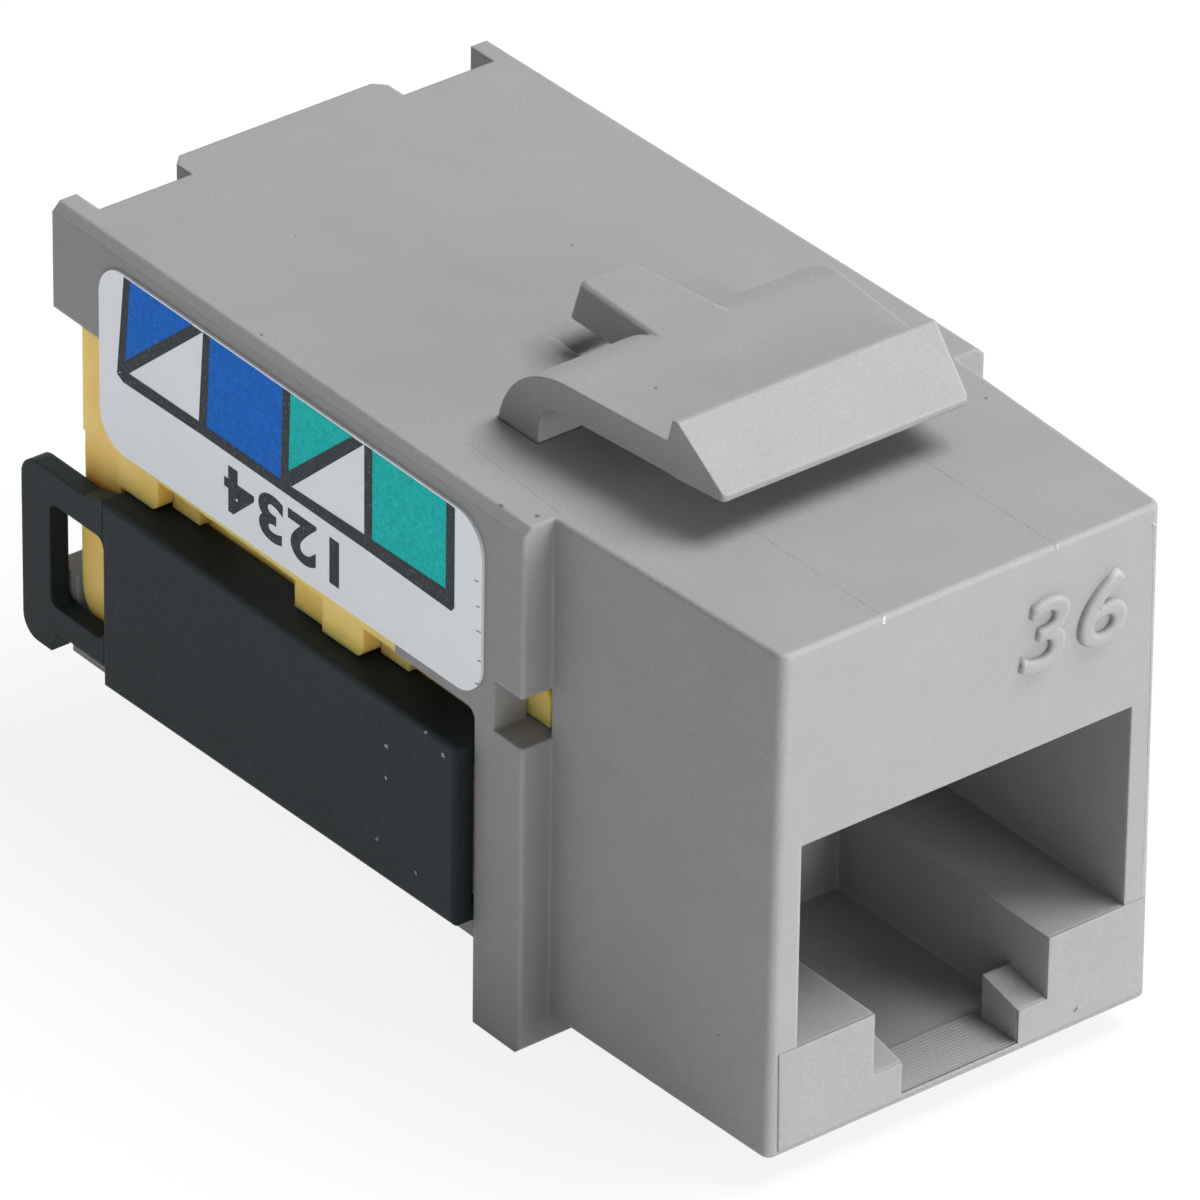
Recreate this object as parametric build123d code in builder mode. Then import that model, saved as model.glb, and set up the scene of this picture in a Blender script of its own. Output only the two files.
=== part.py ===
from build123d import *
import os

os.makedirs("parts", exist_ok=True)

# Frame: X across the jack, Y rearward from the port face, Z up from the front body's bottom edge

# Port, in millimetres: the opening that every width of the jack follows
port_width = 11.88
port_height = 6.64
port_floor = 3.46
port_side_wall = 0.81
channel_width = 6.32
channel_floor = 0.34
lip_gap = 4.24
lip_height = 1.08
lip_rise = 0.38
lip_depth = 1.6
channel_end_wall = 0.2
front_wall = 1.5

# Front body and flange
body_height = 16.5
body_depth = 9.5
face_draft = 0.175
neck_setback = 0.475
flange_step = 1.05
flange_thickness = 2.15
foot_drop = 0.95
foot_ramp = 0.2
corner_radius = 0.3
edge_radius = 0.15
fine_radius = 0.1

# Rear cover with its skirts, ears and tongue
cover_length = 19.15
cover_thickness = 1.3
rear_narrowing = 0.225
ear_reach = 1.1
skirt_thickness = 1.1
skirt_height = 3.45
deep_skirt_height = 6.95
deep_skirt_length = 3.75
skirt_corner_radius = 0.35
tongue_width = 7.7
tongue_chamfer = 0.35
cover_chamfer = 0.28

# Tray under the circuit board
tray_setback = 0.775
tray_thickness = 1.4
tray_flare = 1.1
rail_width = 1.2
rail_height = 3.2
ledge_width = 0.8
rear_wall_setback = 0.175
rear_wall_rise = 1.25
rear_wall_thickness = 1.15
cable_gap = 6.0

# Snap windows in the flange's sides
window_drop = 7.2
window_height = 1.65
window_depth = 1.3
window_wall = 0.41

# Latch lever, sprung from a root on the top face
latch_root_setback = 2.2
latch_root_thickness = 1.8
latch_root_width = 10.2
latch_nose_width = 9.2
latch_tip_width = 8.75
latch_arm_top = 2.35
latch_arm_thickness = 1.0
latch_bend_reach = 1.95
latch_bulge_offset = 0.1
latch_bulge_height = 1.5
latch_inner_radius = 0.9
latch_groove_reach = 6.03
latch_crest_reach = 6.47
latch_crest_height = 3.13
latch_crest_flat = 0.22
latch_tip_reach = 8.25
latch_tip_thickness = 0.2
latch_tip_radius = 0.15
tab_width = 2.68
tab_end_width = 1.9
tab_reach = 2.6
tab_thickness = 1.2
tab_fall = 0.19
tab_corner_radius = 0.3
pocket_width = 1.9
pocket_setback = 1.5
pocket_length = 1.7
pocket_depth = 0.75
pocket_dish = 0.45
seat_rib_margin = 0.4
seat_rib_drop = 0.6

# Circuit board
board_thickness = 1.2
board_gap = 0.45

# Contact carrier and its eight spring contacts
contact_count = 8
contact_pitch = 1.016
contact_wire = 0.32
contact_length = 6.6
contact_angle = 25.0
contact_pivot_setback = 1.3
contact_pivot_rise = 0.75
contact_barrel_radius = 0.3
contact_barrel_width = 0.9
carrier_wall_thickness = 1.35
carrier_wall_setback = 0.35
carrier_shelf_rise = 0.35
carrier_shelf_thickness = 1.65
carrier_roof_gap = 0.45
comb_slot_width = 0.46
comb_slot_length = 7.4
comb_slot_roof = 0.35
carrier_rib_width = 1.2
lead_thickness = 0.3
lead_tail = 0.2

# Insulation-displacement blocks
slot_count = 4
first_slot_setback = 2.95
last_slot_margin = 4.25
slot_width = 1.0
slot_depth = 1.8
block_setback = 0.175
block_width = 5.1
block_wall_gap = 0.075
block_wall_thickness = 1.0
block_rear_gap = 0.25
block_corner_radius = 1.2
block_column_width = 1.75
block_column_setback = 0.15
tooth_setback = 5.35
tooth_width = 1.9
tooth_drop = 1.07
tooth_radius = 0.35
deck_drop = 0.93
post_width = 1.3
post_reach = 0.4
post_drop = 0.45
fill_width = 1.55
nub_width = 0.6
nub_height = 1.5
nub_reach = 1.9
nub_ramp = 0.5

# Forked terminals
terminal_thickness = 0.4
terminal_width = 1.9
terminal_length = 3.6
terminal_drop = 1.9
terminal_setback = 0.2
fork_gap = 0.25
fork_length = 2.2
fork_mouth = 0.9
tail_width = 0.6

# Colour-code labels
label_overhang = 0.4
label_end_gap = 1.3
label_top_gap = 0.65
label_height = 6.1
label_front_rise = 0.25
label_thickness = 0.1
label_radius = 1.15

# Dust caps with pull loops
cap_stand_off = 0.625
cap_plate_thickness = 0.65
cap_drop = 1.1
cap_bottom_rise = 0.35
cap_end_gap = 2.3
cap_ledge_depth = 0.76
cap_ledge_width = 1.05
cap_lip_width = 0.63
cap_lip_height = 0.85
cap_rib_width = 0.6
cap_rib_length = 1.35
loop_reach = 4.0
loop_bar = 1.4
loop_top_gap = 0.26
loop_ramp = 0.9
loop_top_bar = 1.05
loop_foot_drop = 1.2
loop_low_bar_rise = 0.65
loop_low_bar = 0.85
loop_recess = 0.05
loop_corner_radius = 0.7
loop_window_radius = 0.3

# Clearances
running_clearance = 0.05
slide_clearance = 0.1
seat_clearance = 0.05
tolerance = 0.01

# Widths and heights that follow from the dimensions
face_top_width = port_width + 2 * port_side_wall
face_bottom_width = face_top_width + 2 * face_draft
neck_width = face_top_width + 2 * neck_setback
flange_width = neck_width + 2 * flange_step
rear_width = flange_width - 2 * rear_narrowing
skirt_inner = flange_width / 2 - skirt_thickness
tray_width = flange_width - 2 * tray_setback
rear_wall_width = flange_width - 2 * rear_wall_setback
board_width = tray_width - 2 * rail_width - 2 * slide_clearance
block_outer = flange_width / 2 - block_setback
block_inner = block_outer - block_width
block_wall_outer = skirt_inner - block_wall_gap
block_wall_inner = block_wall_outer - block_wall_thickness
block_column_outer = block_outer - block_column_setback
window_inner = port_width / 2 + window_wall
terminal_tip = block_outer - terminal_setback
terminal_root = terminal_tip - terminal_length
cap_outer = flange_width / 2 + cap_stand_off
port_ceiling = port_floor + port_height
carrier_underside = port_ceiling + carrier_shelf_rise
carrier_top = carrier_underside + carrier_shelf_thickness
pocket_roof = carrier_top + carrier_roof_gap
cover_underside = body_height - cover_thickness
skirt_bottom = body_height - skirt_height
deep_bottom = body_height - deep_skirt_height
window_sill = body_height - window_drop
board_top = rail_height
board_underside = board_top - board_thickness
tooth_bottom = deep_bottom - tooth_drop
deck_height = tooth_bottom - deck_drop
terminal_height = deck_height - terminal_drop
cap_top = deck_height + slide_clearance + cap_ledge_depth
cap_bottom = board_top - cap_drop
loop_top = cap_top - loop_top_gap
label_bottom = body_height - label_top_gap - label_height

# Places along the jack
flange_rear = body_depth + flange_thickness
cover_end = flange_rear + cover_length
rear_end = cover_end + ear_reach
taper = (flange_width - rear_width) / 2 / (rear_end - flange_rear)
latch_root_y = flange_rear + latch_root_setback
latch_bend_y = latch_root_y - latch_bend_reach
latch_groove_y = latch_root_y - latch_groove_reach
latch_crest_y = latch_root_y - latch_crest_reach
latch_tip_y = latch_root_y - latch_tip_reach
tab_end_y = latch_root_y + tab_reach
pocket_start_y = latch_root_y + pocket_setback
pocket_end_y = pocket_start_y + pocket_length
carrier_start_y = front_wall + slide_clearance
carrier_wall_y = flange_rear + carrier_wall_setback
carrier_rear = carrier_wall_y + carrier_wall_thickness
contact_pivot_y = carrier_start_y + contact_pivot_setback
contact_pivot_z = carrier_underside + contact_pivot_rise
lead_y = carrier_rear + running_clearance + lead_thickness / 2
board_start = flange_rear + board_gap
board_length = cover_length - 2 * board_gap
block_front = flange_rear + slide_clearance
block_rear_y = cover_end - block_rear_gap
first_slot_y = flange_rear + first_slot_setback
slot_pitch = (block_rear_y - last_slot_margin - first_slot_y) / (slot_count - 1)
slot_places = [first_slot_y + i * slot_pitch for i in range(slot_count)]
contact_places = [(i - (contact_count - 1) / 2) * contact_pitch for i in range(contact_count)]
tooth_places = [flange_rear + tooth_setback, block_rear_y - block_column_width - tooth_width]
cap_start = flange_rear + slide_clearance
cap_end = cover_end - cap_end_gap
loop_end_y = cap_end + loop_reach
label_start_y = flange_rear - label_overhang
label_length = cover_end - label_end_gap - label_start_y


def side_half(y, setback=0.0):
    """Half-width of the tapered rear sides at the distance y behind the port face."""
    return flange_width / 2 - taper * (y - flange_rear) - setback


def box_between(low, high, mode=Mode.ADD):
    """A straight-sided block between two opposite corners."""
    centre = [(a + b) / 2 for a, b in zip(low, high)]
    with Locations(tuple(centre)):
        Box(*[b - a for a, b in zip(low, high)], mode=mode)


# Housing

with BuildPart() as housing:
    # Drafted front body
    with BuildSketch(Plane.XZ):
        with BuildLine():
            Polyline(
                (-face_bottom_width / 2, 0),
                (face_bottom_width / 2, 0),
                (face_top_width / 2, body_height),
                (-face_top_width / 2, body_height),
                close=True,
            )
        make_face()
    with BuildSketch(Plane.XZ.offset(-body_depth)):
        with Locations((0, body_height / 2)):
            Rectangle(neck_width, body_height)
    loft(ruled=True)
    face_edges = housing.edges().filter_by(lambda edge: edge.center().Y < tolerance)
    fillet(face_edges.filter_by(Axis.X, reverse=True), corner_radius)
    rim_edges = housing.edges().filter_by(lambda edge: edge.center().Y < body_depth - corner_radius)
    rim_edges = rim_edges.filter_by(lambda edge: edge.length > 2 * corner_radius)
    half_height = body_height / 2
    rim_edges = rim_edges.filter_by(lambda edge: abs(edge.center().Z - half_height) > half_height / 2)
    fillet(rim_edges, edge_radius)

    # Flange with its foot
    with BuildSketch(Plane.XZ.offset(-body_depth)):
        with Locations((0, (body_height - foot_drop) / 2)):
            Rectangle(flange_width, body_height + foot_drop)
    extrude(amount=-flange_thickness)
    foot_edges = housing.edges().filter_by(Axis.X).group_by(Axis.Z)[0]
    chamfer(foot_edges.sort_by(Axis.Y)[0], foot_ramp)

    # Rear cover in plan, with its tongue
    with BuildSketch(Plane.XY.offset(cover_underside)):
        with BuildLine():
            Polyline(
                (-side_half(flange_rear), flange_rear),
                (side_half(flange_rear), flange_rear),
                (side_half(cover_end), cover_end),
                (tongue_width / 2, cover_end),
                (tongue_width / 2, rear_end - tongue_chamfer),
                (tongue_width / 2 - tongue_chamfer, rear_end),
                (-tongue_width / 2 + tongue_chamfer, rear_end),
                (-tongue_width / 2, rear_end - tongue_chamfer),
                (-tongue_width / 2, cover_end),
                (-side_half(cover_end), cover_end),
                close=True,
            )
        make_face()
    extrude(amount=cover_thickness)

    # Skirts in side view, deeper beside the flange, running on as the ears
    for side in (-1, 1):
        with BuildSketch(Plane.YZ.offset(side * skirt_inner)):
            with BuildLine():
                Polyline(
                    (flange_rear, deep_bottom - skirt_corner_radius),
                    (flange_rear, body_height),
                    (rear_end, body_height),
                    (rear_end, skirt_bottom),
                    (flange_rear + deep_skirt_length, skirt_bottom),
                    (flange_rear + deep_skirt_length, deep_bottom),
                    (flange_rear + skirt_corner_radius, deep_bottom),
                )
                RadiusArc(
                    (flange_rear + skirt_corner_radius, deep_bottom),
                    (flange_rear, deep_bottom - skirt_corner_radius),
                    -skirt_corner_radius,
                )
            make_face()
        extrude(amount=side * skirt_thickness)
    for side in (-1, 1):
        with BuildSketch(Plane.XY.offset(body_height)):
            with BuildLine():
                Polyline(
                    (side * side_half(flange_rear), flange_rear),
                    (side * side_half(rear_end), rear_end),
                    (side * flange_width, rear_end),
                    (side * flange_width, flange_rear),
                    close=True,
                )
            make_face()
        extrude(amount=-deep_skirt_height, mode=Mode.SUBTRACT)
    side_edges = housing.edges().filter_by(lambda edge: edge.center().Z > body_height - tolerance)
    side_edges = side_edges.filter_by(lambda edge: abs(edge.center().X) > skirt_inner + tolerance)
    chamfer(side_edges.filter_by(lambda edge: edge.length > cover_length), cover_chamfer)
    flange_edges = housing.edges().filter_by(Axis.Z)
    flange_edges = flange_edges.filter_by(lambda edge: abs(edge.center().X) > flange_width / 2 - tolerance)
    fillet(flange_edges.filter_by(lambda edge: edge.center().Y < body_depth + tolerance), fine_radius)

    # Tray with rails beside the board and ledges beneath it
    with BuildSketch(Plane.XZ.offset(-flange_rear)):
        rail_inner = tray_width / 2 - rail_width
        ledge_inner = rail_inner - ledge_width
        with BuildLine():
            Polyline(
                (0, 0),
                (tray_width / 2 - tray_flare, 0),
                (tray_width / 2, tray_flare),
                (tray_width / 2, rail_height),
                (rail_inner, rail_height),
                (rail_inner, board_underside),
                (ledge_inner, board_underside),
                (ledge_inner, tray_thickness),
                (0, tray_thickness),
                close=True,
            )
        make_face()
        mirror(about=Plane.YZ)
    extrude(amount=-(cover_length + ear_reach))

    # Rear wall with the gap where the cable comes in
    with BuildSketch(Plane.XZ.offset(-(rear_end - rear_wall_thickness))):
        with BuildLine():
            Polyline(
                (0, 0),
                (tray_width / 2 - tray_flare, 0),
                (rear_wall_width / 2, 2 * tray_flare),
                (rear_wall_width / 2, board_top + rear_wall_rise),
                (cable_gap / 2, board_top + rear_wall_rise),
                (cable_gap / 2, board_top),
                (0, board_top),
                close=True,
            )
        make_face()
        mirror(about=Plane.YZ)
    extrude(amount=-rear_wall_thickness)

    # Port, open through the flange, and the contact pocket above it
    with BuildSketch(Plane.XZ):
        with Locations((0, port_floor + port_height / 2)):
            Rectangle(port_width, port_height)
    extrude(amount=-flange_rear, mode=Mode.SUBTRACT)
    with BuildSketch(Plane.XZ.offset(-front_wall)):
        with Locations((0, (port_ceiling + pocket_roof) / 2)):
            Rectangle(port_width, pocket_roof - port_ceiling)
    extrude(amount=-(flange_rear - front_wall), mode=Mode.SUBTRACT)

    # Latch channel with its two ramped lips
    with BuildSketch(Plane.XZ):
        with Locations((0, (channel_floor + port_floor) / 2)):
            Rectangle(channel_width, port_floor - channel_floor)
    extrude(amount=-(body_depth - channel_end_wall), mode=Mode.SUBTRACT)
    for side in (-1, 1):
        with BuildSketch(Plane.YZ.offset(side * lip_gap / 2)):
            with BuildLine():
                Polyline(
                    (0, channel_floor),
                    (0, channel_floor + lip_height),
                    (lip_depth, channel_floor + lip_height + lip_rise),
                    (lip_depth, channel_floor),
                    close=True,
                )
            make_face()
        extrude(amount=side * (channel_width - lip_gap) / 2)

    # Snap windows, flared at the sides and open behind to the terminal blocks
    for side in (-1, 1):
        with BuildSketch(Plane.XZ.offset(-body_depth)):
            with BuildLine():
                Polyline(
                    (side * window_inner, window_sill),
                    (side * flange_width, window_sill),
                    (side * flange_width, window_sill + window_height),
                    (side * window_inner, window_sill + window_height),
                    close=True,
                )
            make_face()
        extrude(amount=-window_depth, mode=Mode.SUBTRACT)
        with BuildSketch(Plane.XZ.offset(-body_depth)):
            with BuildLine():
                Polyline(
                    (side * window_inner, window_sill),
                    (side * block_wall_outer, window_sill),
                    (side * block_wall_outer, window_sill + window_height),
                    (side * window_inner, window_sill + window_height),
                    close=True,
                )
            make_face()
        extrude(amount=-flange_thickness, mode=Mode.SUBTRACT)

    # Seat of the latch root, on a rib under the cover
    root_radius = latch_root_thickness / 2
    box_between(
        (-latch_root_width / 2 - seat_rib_margin, flange_rear, cover_underside - seat_rib_drop),
        (latch_root_width / 2 + seat_rib_margin, latch_root_y + latch_root_thickness, cover_underside),
    )
    with BuildSketch(Plane.YZ):
        with Locations((latch_root_y, body_height)):
            Circle(root_radius + running_clearance)
    extrude(amount=latch_root_width / 2 + running_clearance, both=True, mode=Mode.SUBTRACT)

    # Dished pocket under the release tab
    with BuildSketch(Plane.XY.offset(body_height)):
        with Locations((0, (pocket_start_y + pocket_end_y) / 2)):
            Rectangle(pocket_width, pocket_end_y - pocket_start_y)
    extrude(amount=-pocket_depth, mode=Mode.SUBTRACT)
    pocket_edges = housing.edges().filter_by(lambda edge: abs(edge.center().Z - body_height) < tolerance)
    pocket_edges = pocket_edges.filter_by(
        lambda edge: pocket_start_y - tolerance < edge.center().Y < pocket_end_y + tolerance
    )
    fillet(pocket_edges.filter_by(lambda edge: abs(edge.center().X) < pocket_width), pocket_dish)


# Release tab of the latch, its top narrowing and falling towards the rear

arm_top = body_height + latch_arm_top
arm_underside = arm_top - latch_arm_thickness

with BuildPart() as release_tab:
    for y, top_width, top_z in (
        (latch_bend_y, tab_width, arm_top),
        (tab_end_y, tab_end_width, arm_top - tab_fall),
    ):
        with BuildSketch(Plane.XZ.offset(-y)):
            with BuildLine():
                Polyline(
                    (-tab_width / 2, arm_top - tab_thickness),
                    (tab_width / 2, arm_top - tab_thickness),
                    (top_width / 2, top_z),
                    (-top_width / 2, top_z),
                    close=True,
                )
            make_face()
    loft(ruled=True)
    tab_edges = release_tab.edges().filter_by(lambda edge: edge.center().Y > tab_end_y - tolerance)
    fillet(tab_edges.filter_by(Axis.X, reverse=True), tab_corner_radius)
    tab_edges = release_tab.faces().sort_by(Axis.Z)[-1].edges()
    chamfer(tab_edges.filter_by(lambda edge: edge.center().Y > latch_bend_y + tolerance), fine_radius)


# Latch lever: root, bend, arm, ramped nose and release tab

with BuildPart() as latch_lever:
    crest_z = body_height + latch_crest_height
    root_rear = latch_root_y + root_radius
    root_front = latch_root_y - root_radius
    with BuildSketch(Plane.YZ) as latch_profile:
        with BuildLine():
            ThreePointArc(
                (root_rear, body_height),
                (latch_root_y + latch_bulge_offset, body_height + latch_bulge_height),
                (latch_bend_y, arm_top),
            )
            Polyline(
                (latch_bend_y, arm_top),
                (latch_groove_y, arm_top),
                (latch_crest_y + latch_crest_flat, crest_z),
                (latch_crest_y, crest_z),
                (latch_tip_y, arm_underside + latch_tip_thickness),
                (latch_tip_y, arm_underside),
                (root_front - latch_inner_radius, arm_underside),
            )
            RadiusArc(
                (root_front - latch_inner_radius, arm_underside),
                (root_front, arm_underside - latch_inner_radius),
                latch_inner_radius,
            )
            Line((root_front, arm_underside - latch_inner_radius), (root_front, body_height))
            ThreePointArc(
                (root_front, body_height),
                (latch_root_y, body_height - root_radius),
                (root_rear, body_height),
            )
        make_face()
    extrude(amount=latch_root_width / 2, both=True)

    # Plan outline: the arm narrows from the root to the nose
    with BuildSketch(Plane.XY.offset(body_height - latch_root_thickness)) as latch_plan:
        with BuildLine():
            Polyline(
                (-latch_root_width / 2, root_rear + root_radius),
                (latch_root_width / 2, root_rear + root_radius),
                (latch_root_width / 2, root_front),
                (latch_nose_width / 2, latch_groove_y),
                (latch_nose_width / 2, latch_crest_y),
                (latch_tip_width / 2, latch_tip_y),
                (-latch_tip_width / 2, latch_tip_y),
                (-latch_nose_width / 2, latch_crest_y),
                (-latch_nose_width / 2, latch_groove_y),
                (-latch_root_width / 2, root_front),
                close=True,
            )
        make_face()
        fillet(latch_plan.vertices().group_by(Axis.Y)[0], latch_tip_radius)
    extrude(amount=latch_crest_height + 2 * latch_root_thickness, mode=Mode.INTERSECT)

    # Rounded crest
    crest_edges = latch_lever.edges().filter_by(Axis.X)
    crest_edges = crest_edges.filter_by(lambda edge: edge.center().Z > crest_z - tolerance)
    fillet(crest_edges, fine_radius)

    # Release tab behind the bend
    add(release_tab.part)


# Circuit board with square holes for the terminal tails and the contact tails

tail_x = terminal_root + terminal_thickness / 2

with BuildPart() as circuit_board:
    with BuildSketch(Plane.XY.offset(board_underside)):
        with Locations((0, board_start + board_length / 2)):
            Rectangle(board_width, board_length)
        with Locations([(side * tail_x, y) for side in (-1, 1) for y in slot_places]):
            Rectangle(
                terminal_thickness + 2 * slide_clearance,
                tail_width + 2 * slide_clearance,
                mode=Mode.SUBTRACT,
            )
        with Locations([(x, lead_y) for x in contact_places]):
            Rectangle(
                lead_thickness + 2 * slide_clearance,
                lead_thickness + 2 * slide_clearance,
                mode=Mode.SUBTRACT,
            )
    extrude(amount=board_thickness)


# Contact carrier: comb shelf over the port and the wall that closes the port behind

carrier_half = port_width / 2 - seat_clearance

with BuildPart() as contact_carrier:
    box_between(
        (-carrier_half, carrier_start_y, carrier_underside),
        (carrier_half, carrier_rear, carrier_top),
    )
    box_between((-carrier_half, carrier_wall_y, board_top), (carrier_half, carrier_rear, carrier_top))
    for side in (-1, 1):
        rib_inner = carrier_half - carrier_rib_width
        box_between(
            (min(side * carrier_half, side * rib_inner), carrier_start_y, carrier_top),
            (max(side * carrier_half, side * rib_inner), carrier_wall_y, pocket_roof - seat_clearance),
        )
    with BuildSketch(Plane.XY.offset(carrier_underside)):
        with Locations([(x, contact_pivot_y + comb_slot_length / 2) for x in contact_places]):
            Rectangle(comb_slot_width, comb_slot_length)
    extrude(amount=carrier_shelf_thickness - comb_slot_roof, mode=Mode.SUBTRACT)
    with BuildSketch(Plane.YZ):
        with Locations((contact_pivot_y, contact_pivot_z)):
            Circle(contact_barrel_radius + running_clearance)
    bore_half = (contact_count * contact_pitch) / 2
    extrude(amount=bore_half, both=True, mode=Mode.SUBTRACT)


# Fixed leads of the contacts: forward along the shelf, down behind the wall, into the board

with BuildPart() as contact_leads:
    lead_bottom = carrier_top + running_clearance
    lead_front = contact_pivot_y + contact_barrel_radius
    for x in contact_places:
        with BuildSketch(Plane.YZ.offset(x)):
            with BuildLine():
                Polyline(
                    (lead_front, lead_bottom),
                    (lead_y - lead_thickness / 2, lead_bottom),
                    (lead_y - lead_thickness / 2, board_underside - lead_tail),
                    (lead_y + lead_thickness / 2, board_underside - lead_tail),
                    (lead_y + lead_thickness / 2, lead_bottom + lead_thickness),
                    (lead_front, lead_bottom + lead_thickness),
                    close=True,
                )
            make_face()
        extrude(amount=lead_thickness / 2, both=True)


# Spring contacts: each turns in the carrier's bore

spring_contacts = []
for number, x in enumerate(contact_places, start=1):
    with BuildPart() as spring_contact:
        with BuildSketch(Plane.YZ.offset(x)):
            with Locations((contact_pivot_y, contact_pivot_z)):
                Circle(contact_barrel_radius)
        extrude(amount=contact_barrel_width / 2, both=True)
        with BuildSketch(Plane.YZ.offset(x)):
            with Locations(Location((contact_pivot_y, contact_pivot_z), -contact_angle)):
                SlotCenterPoint((contact_length / 2, 0), (0, 0), contact_wire)
        extrude(amount=contact_wire / 2, both=True)
    spring_contact.part.label = f"spring_contact_{number}"
    spring_contacts.append(spring_contact.part)


# Insulation-displacement block of the right side; the left one is its mirror image

with BuildPart() as idc_block_right:
    deck_front = lead_y + lead_thickness / 2 + slide_clearance
    # Deck that holds the terminals
    box_between((block_inner, deck_front, board_top), (block_outer, block_rear_y, deck_height))
    box_between((block_wall_inner, block_front, board_top), (block_outer, deck_front, deck_height))
    # Wall behind the skirt, up to the cover
    box_between(
        (block_wall_inner, block_front, deck_height),
        (block_wall_outer, block_rear_y, cover_underside - seat_clearance),
    )
    # Outer face under the label, flush with the tapered skirt
    skin_front = flange_rear + deep_skirt_length + seat_clearance
    with BuildSketch(Plane.XY.offset(deep_bottom)):
        with BuildLine():
            Polyline(
                (block_wall_outer, skin_front),
                (side_half(skin_front, seat_clearance), skin_front),
                (side_half(block_rear_y, seat_clearance), block_rear_y),
                (block_wall_outer, block_rear_y),
                close=True,
            )
        make_face()
    extrude(amount=skirt_bottom - seat_clearance - deep_bottom)
    # Column at the rear end
    box_between(
        (block_wall_outer, block_rear_y - block_column_width, board_top),
        (block_column_outer, block_rear_y, deep_bottom),
    )
    # Teeth, with a recessed face behind each and a rounded wire post in front
    for y in tooth_places:
        with BuildSketch(Plane.YZ.offset(block_wall_outer)) as tooth:
            with Locations((y + tooth_width / 2, (tooth_bottom + deep_bottom) / 2)):
                Rectangle(tooth_width, deep_bottom - tooth_bottom)
            fillet(tooth.vertices().sort_by(Axis.Y)[0:2].sort_by(Axis.X)[0], tooth_radius)
        extrude(amount=side_half(y + tooth_width, seat_clearance) - block_wall_outer)
        box_between(
            (block_wall_outer, y + tooth_width, tooth_bottom),
            (block_column_outer, y + tooth_width + fill_width, deep_bottom),
        )
        with BuildSketch(Plane.YZ.offset(block_wall_outer)) as post:
            with Locations((y - post_width / 2, (tooth_bottom + deep_bottom - post_drop) / 2)):
                Rectangle(post_width, deep_bottom - post_drop - tooth_bottom)
            fillet(post.vertices().group_by(Axis.Y)[-1].sort_by(Axis.X)[0], tooth_radius)
        extrude(amount=post_reach)
    # Windows where the wire pairs come out
    window_places = [
        (block_front + slide_clearance, tooth_places[0] - post_width),
        (tooth_places[0] + tooth_width + fill_width, tooth_places[1] - post_width),
    ]
    for low_y, high_y in window_places:
        box_between(
            (block_wall_inner, low_y, tooth_bottom),
            (block_wall_outer, high_y, deep_bottom),
            mode=Mode.SUBTRACT,
        )
    # Wire slots, terminal pockets and tail chutes
    for y in slot_places:
        box_between(
            (block_outer - slot_depth, y - slot_width / 2, board_top),
            (block_outer, y + slot_width / 2, deck_height),
            mode=Mode.SUBTRACT,
        )
        box_between(
            (block_inner, y - terminal_width / 2 - seat_clearance, terminal_height - seat_clearance),
            (
                terminal_tip + seat_clearance,
                y + terminal_width / 2 + seat_clearance,
                terminal_height + terminal_thickness + seat_clearance,
            ),
            mode=Mode.SUBTRACT,
        )
        box_between(
            (terminal_root - seat_clearance, y - tail_width / 2 - seat_clearance, board_top),
            (
                terminal_root + terminal_thickness + seat_clearance,
                y + tail_width / 2 + seat_clearance,
                terminal_height,
            ),
            mode=Mode.SUBTRACT,
        )
    # Rounded rear bottom corner
    corner_edges = idc_block_right.edges().filter_by(Axis.X).group_by(Axis.Z)[0]
    fillet(corner_edges.group_by(Axis.Y)[-1], block_corner_radius)
    # Snap nub in the flange's window
    nub_x = (window_inner + block_wall_outer) / 2
    nub_z = window_sill + window_height / 2
    with BuildSketch(Plane.YZ.offset(nub_x - nub_width / 2)):
        with BuildLine():
            Polyline(
                (block_front, nub_z - nub_height / 2),
                (block_front, nub_z + nub_height / 2),
                (block_front - nub_reach + nub_ramp, nub_z + nub_height / 2),
                (block_front - nub_reach, nub_z + nub_height / 2 - nub_ramp),
                (block_front - nub_reach, nub_z - nub_height / 2),
                close=True,
            )
        make_face()
    extrude(amount=nub_width)

with BuildPart() as idc_block_left:
    mirror(idc_block_right.part, about=Plane.YZ)


# Forked terminals, four on each side

idc_terminals = []
for side in (1, -1):
    for y in slot_places:
        with BuildPart() as terminal:
            with BuildSketch(Plane.XY.offset(terminal_height)):
                with BuildLine():
                    Polyline(
                        (side * terminal_root, y - terminal_width / 2),
                        (side * terminal_tip, y - terminal_width / 2),
                        (side * terminal_tip, y - fork_mouth / 2),
                        (side * (terminal_tip - fork_mouth / 2), y - fork_gap / 2),
                        (side * (terminal_tip - fork_length), y - fork_gap / 2),
                        (side * (terminal_tip - fork_length), y + fork_gap / 2),
                        (side * (terminal_tip - fork_mouth / 2), y + fork_gap / 2),
                        (side * terminal_tip, y + fork_mouth / 2),
                        (side * terminal_tip, y + terminal_width / 2),
                        (side * terminal_root, y + terminal_width / 2),
                        close=True,
                    )
                make_face()
            extrude(amount=terminal_thickness)
            with BuildSketch(Plane.XY.offset(terminal_height + terminal_thickness)):
                with Locations((side * tail_x, y)):
                    Rectangle(terminal_thickness, tail_width)
            tail_bottom = board_underside - lead_tail
            extrude(amount=tail_bottom - terminal_height - terminal_thickness)
        idc_terminals.append(terminal.part)


# Colour-code labels on the tapered sides

label_plane = Plane(
    origin=(side_half(flange_rear), flange_rear, 0),
    x_dir=(-taper, 1, 0),
    z_dir=(1, taper, 0),
)

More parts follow.
